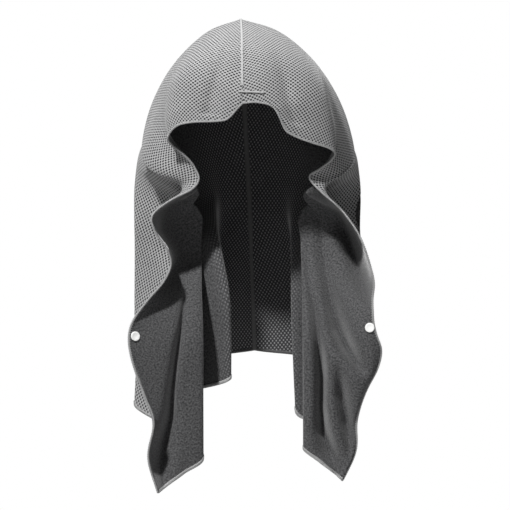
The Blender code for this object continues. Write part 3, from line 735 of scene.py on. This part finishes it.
def turned_piece(name, outline, place, material, turns=48):
    """A turned solid from an outline of (radius, height) in mm, from axis to axis."""
    rings = [[(r * math.cos(t), r * math.sin(t), h) for t in
              (k * math.tau / turns for k in range(turns))] for r, h in outline]
    obj = tube(name, rings, [material])
    obj.data.transform(place)
    return obj


def arc(centre_r, centre_h, radius, start, end, steps=6):
    """Points of a round corner on a turned outline, angles in degrees."""
    return [(centre_r + radius * math.cos(math.radians(a)),
             centre_h + radius * math.sin(math.radians(a)))
            for a in np.linspace(start, end, steps)]


def stud_place(side, grid):
    """The press stud's frame: local +Z points out of the cloth's inner face."""
    u, v = STUDS[side]
    i, j = round(v * (RIBS - 1)), round(u * (COLUMNS - 1))
    inward = Vector(-normals(grid, SIDES[side][0])[i, j])
    centre = Vector(grid[i, j]) * MM
    return Matrix.Translation(centre) @ inward.to_track_quat("Z", "Y").to_matrix().to_4x4()


def press_stud(side, grid, material):
    """A cap with a soft round rim and a shallow dish, and its mate on the outer face."""
    place = stud_place(side, grid)
    base = CLOTH / 2 + 0.2
    rim = arc(STUD_RADIUS - 0.8, base + 1.0, 0.8, -60, 90)
    cap = [(0.05, base)] + [(STUD_RADIUS - 1.2, base)] + rim
    cap += [(3.6, base + 1.7), (3.0, base + 1.45), (1.2, base + 1.4), (0.05, base + 1.4)]
    pieces = [turned_piece(f"press_stud_cap_{side}", cap, place, material)]
    if side == "left":
        mate = [(1.9, -base), (4.6, -base)] + arc(4.4, -base - 0.6, 0.6, 60, -60)
        mate += [(3.7, -base - 2.6), (3.4, -base - 3.1), (2.9, -base - 3.1), (2.6, -base - 2.7),
                 (2.5, -base - 1.3), (0.05, -base - 1.3)]
        pieces.append(turned_piece("press_stud_socket_left", mate[::-1], place, material))
    else:
        mate = [(1.9, -base), (4.6, -base)] + arc(4.4, -base - 0.5, 0.5, 60, -60)
        mate += [(2.6, -base - 1.2), (2.2, -base - 1.8), (2.5, -base - 2.5), (2.2, -base - 3.1),
                 (0.05, -base - 3.2)]
        pieces.append(turned_piece("press_stud_ball_right", mate[::-1], place, material))
    return pieces


# ---- the whole -------------------------------------------------------------------------

def make():
    """Every piece of the hood; the press studs, the seam's ridge, tape and stitches and the brim's pale
    thread are tied to the frames they stand for.
    """
    outer, inner = waffle_knit(), brushed_knit()
    edge_thread = thread("overlock_thread_polyester", "#b9b9b9", "#8b8b8b")
    dark_thread = thread("seam_thread_polyester", "#5c5c5c", "#333333")
    tape = thread("herringbone_tape_polyester", "#6c6c6c", "#4c4c4c")
    acetal = moulded_acetal()
    grids = {}
    for side in SIDES:
        obj, grid, size, area = panel(side, outer, inner)
        grids[side] = grid
        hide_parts(f"hood_panel_{side}", f"front_wing_{side}")
        front, bottom = border(grid, side, "front"), border(grid, side, "bottom")
        roll = rolled_edge(side, grid, edge_thread)
        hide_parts(f"brim_roll_{side}", f"wing_roll_{side}")
        band = hem_band(side, grid, edge_thread, dark_thread)
        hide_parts(f"back_hem_{side}", f"wing_hem_{side}")
        loops = overlock(f"hem_loops_{side}", bottom, HEM_PITCH, HEM_WIDTH, CLOTH / 2 + 0.35,
                         THREAD, edge_thread, begin=DARK_HEM)
        whip = overlock(f"edge_loops_{side}", front, STITCH, 1.6, 1.25, THREAD, edge_thread, 1.8)
        for piece in (obj, roll, band, loops, whip):
            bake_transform(piece)
        studs = press_stud(side, grid, acetal)
        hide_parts(f"stud_cap_{side}")
        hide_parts("stud_socket_left" if side == "left" else "stud_ball_right")
        for stud in studs:
            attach(stud, f"{side}_wing")
    ridge = seam_ridge(grids, edge_thread)
    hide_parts("crown_seam_ridge")
    inside = seam_tape(grids, tape)
    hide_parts("back_seam_tape")
    middle, n, across = seam_frame(grids)
    first = int(RIBS * SEAM_START)
    rows = [stitches(f"tape_stitches_{name}", middle[first:], n[first:], across[first:], x, -1.75,
                     dark_thread) for name, x in (("left", -2.3), ("right", 2.3))]
    # A thick pale thread across the brim's front stands where the cloth shows only a highlight along a
    # fold: a painted highlight.
    tack_low, tack_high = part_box("brim_tack")
    x = np.linspace(tack_low.x, tack_high.x, 40) / MM
    y = np.interp(x, [x[0], 0, x[-1]], [-119.6, -120.4, -120.2])
    highlight_line = np.stack([x, y, np.full(40, (tack_low.z + tack_high.z) / 2 / MM)], axis=1)
    highlight_line[:, 2] += 0.8 * np.cos(np.linspace(0, 2.2, 40))
    tack = thread_run("brim_highlight_thread", highlight_line, 1.3, edge_thread, 8)
    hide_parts("brim_tack")
    for piece in (ridge, inside, tack, *rows):
        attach(piece, "hood")


def area_light(name, place, aim, size, power):
    """A round soft light."""
    light = bpy.data.lights.new(name, "AREA")
    light.shape = "DISK"
    light.size = size
    light.energy = power
    obj = bpy.data.objects.new(name, light)
    obj.location = place
    obj.rotation_euler = (Vector(aim) - Vector(place)).to_track_quat("-Z", "Y").to_euler()
    bpy.context.scene.collection.objects.link(obj)


def studio():
    """A white room: pale floor under the hood, one hard light and three soft ones."""
    scene = bpy.context.scene
    scene.view_settings.view_transform = "Standard"
    world = bpy.data.worlds.new("white_room")
    world.use_nodes = True
    scene.world = world
    tree = world.node_tree
    tree.nodes.clear()
    seen = node(tree, "ShaderNodeBackground", Color=(1, 1, 1, 1), Strength=1.0)
    fill = node(tree, "ShaderNodeBackground", Color=(1, 1, 1, 1), Strength=0.13)
    ray = node(tree, "ShaderNodeLightPath").outputs["Is Camera Ray"]
    both = node(tree, "ShaderNodeMixShader", {0: ray, 1: fill.outputs[0], 2: seen.outputs[0]})
    node(tree, "ShaderNodeOutputWorld", {0: both.outputs[0]})
    bpy.ops.mesh.primitive_circle_add(vertices=96, radius=2.5, fill_type="NGON",
                                      location=(0, 0, -1.6))
    floor = bpy.context.object
    floor.name = "floor"
    material, tree, shader = blank("matt_white_floor")
    shader.inputs["Base Color"].default_value = linear("#f2f2f2")
    shader.inputs["Roughness"].default_value = 0.9
    floor.data.materials.append(material)
    for name, place, size, power in LIGHTS:
        area_light(name, place, LIGHTS_AIM, size, power)


def camera():
    """A long lens, almost level with the hood's middle, straight in front."""
    reach, rise = 6.0, math.radians(0.3)
    centre = Vector((0.0078, 0, -0.302))
    data = bpy.data.cameras.new("camera")
    data.sensor_width = 36
    data.lens = 36 * reach / 0.663
    obj = bpy.data.objects.new("camera", data)
    obj.location = centre + Vector((0, -math.cos(rise), math.sin(rise))) * reach
    obj.rotation_euler = (centre - obj.location).to_track_quat("-Z", "Y").to_euler()
    bpy.context.scene.collection.objects.link(obj)
    bpy.context.scene.camera = obj


camera()
make()
studio()
bpy.context.view_layer.update()
